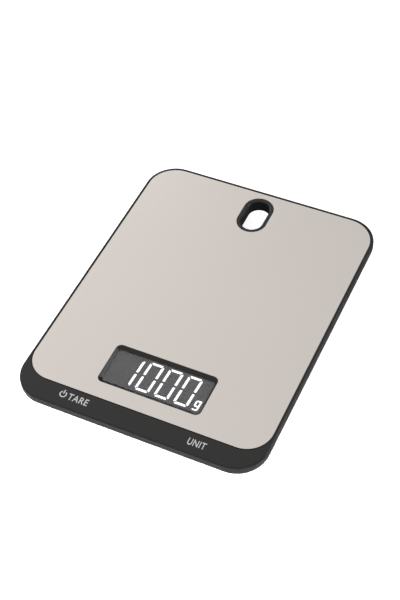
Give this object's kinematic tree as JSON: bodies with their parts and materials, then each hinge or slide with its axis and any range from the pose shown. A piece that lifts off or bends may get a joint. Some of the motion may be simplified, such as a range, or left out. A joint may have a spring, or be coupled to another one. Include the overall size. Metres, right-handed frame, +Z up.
{
  "type": "digital gram scale",
  "caption": "Slim electronic scale with a brushed metal platform in a black case, recessed display, touch keys on the front lip and a hanging hole.",
  "frame": {"origin": "centre of the bounding box's underside, on the plane that the feet stand on", "axes": "+Z up out of the platform, +Y from the display end to the hanging-hole end, +X to the right of a person reading the display"},
  "size_m": [0.1634, 0.2108, 0.017],
  "materials": {
    "platform_steel": "fine straight brushed, warm champagne tone",
    "black_case": "moulded, fine satin grain",
    "display_lens": "smoke tinted, polished",
    "display_glass": "smooth dark grey display glass with white figures",
    "light_guide": "clear-white light guide",
    "white_plastic": "moulded white",
    "contact_rubber": "banded conductive rubber",
    "circuit_board": "green solder mask",
    "potting": "black potting resin",
    "component_black": "moulded component bodies",
    "spring_steel": "nickel plated spring steel",
    "lead_insulation": "soft wire insulation",
    "battery_can": "printed sleeve, plain grey",
    "screw_steel": "zinc plated",
    "cell_steel": "stamped alloy steel, nickel plated",
    "gauge_film": "amber polyimide film",
    "foot_rubber": "soft matt rubber",
    "label_film": "plain silver grey film",
    "bonding_film": "double sided adhesive film"
  },
  "bodies": {
    "case": {"top_plate": "platform_steel", "plate_adhesive": "bonding_film", "upper_case": "black_case", "lower_case": "black_case", "display_lens": "display_lens", "lcd_panel": "display_glass", "lcd_backlight": "light_guide", "lcd_frame": "white_plastic", "zebra_strip": "contact_rubber", "main_pcb": "circuit_board", "controller_chip": "potting", "pcb_components": "component_black", "touch_spring_tare": "spring_steel", "touch_spring_unit": "spring_steel", "sensor_leads": "lead_insulation", "battery_leads": "lead_insulation", "battery_1": "battery_can", "battery_2": "battery_can", "contact_plus": "spring_steel", "contact_minus": "spring_steel", "contact_bridge": "spring_steel", "case_screws": "screw_steel", "rating_label": "label_film", "load_cell_frame_front_left": "cell_steel", "load_cell_frame_front_right": "cell_steel", "load_cell_frame_back_left": "cell_steel", "load_cell_frame_back_right": "cell_steel"},
    "foot_front_left": {"foot_cup_front_left": "black_case", "foot_pad_front_left": "foot_rubber", "foot_screw_front_left": "screw_steel", "load_cell_tongue_front_left": "cell_steel", "strain_gauge_front_left": "gauge_film"},
    "foot_front_right": {"foot_cup_front_right": "black_case", "foot_pad_front_right": "foot_rubber", "foot_screw_front_right": "screw_steel", "load_cell_tongue_front_right": "cell_steel", "strain_gauge_front_right": "gauge_film"},
    "foot_back_left": {"foot_cup_back_left": "black_case", "foot_pad_back_left": "foot_rubber", "foot_screw_back_left": "screw_steel", "load_cell_tongue_back_left": "cell_steel", "strain_gauge_back_left": "gauge_film"},
    "foot_back_right": {"foot_cup_back_right": "black_case", "foot_pad_back_right": "foot_rubber", "foot_screw_back_right": "screw_steel", "load_cell_tongue_back_right": "cell_steel", "strain_gauge_back_right": "gauge_film"},
    "battery_cover": {"battery_cover": "black_case"}
  },
  "joints": [
    {"name": "foot_travel_front_left", "type": "slide", "parent": "case", "child": "foot_front_left", "axis": [0, 0, 1], "range_m": [0, 0.0004], "stiffness_N_per_m": 5000, "springref_m": -0.0004},
    {"name": "foot_travel_front_right", "type": "slide", "parent": "case", "child": "foot_front_right", "axis": [0, 0, 1], "range_m": [0, 0.0004], "stiffness_N_per_m": 5000, "springref_m": -0.0004},
    {"name": "foot_travel_back_left", "type": "slide", "parent": "case", "child": "foot_back_left", "axis": [0, 0, 1], "range_m": [0, 0.0004], "stiffness_N_per_m": 5000, "springref_m": -0.0004},
    {"name": "foot_travel_back_right", "type": "slide", "parent": "case", "child": "foot_back_right", "axis": [0, 0, 1], "range_m": [0, 0.0004], "stiffness_N_per_m": 5000, "springref_m": -0.0004},
    {"name": "cover_hinge", "type": "hinge", "parent": "case", "child": "battery_cover", "pos_m": [-0.0291, 0.005, 0.0033], "axis": [0, 1, 0], "range_deg": [0, 90]}
  ]
}
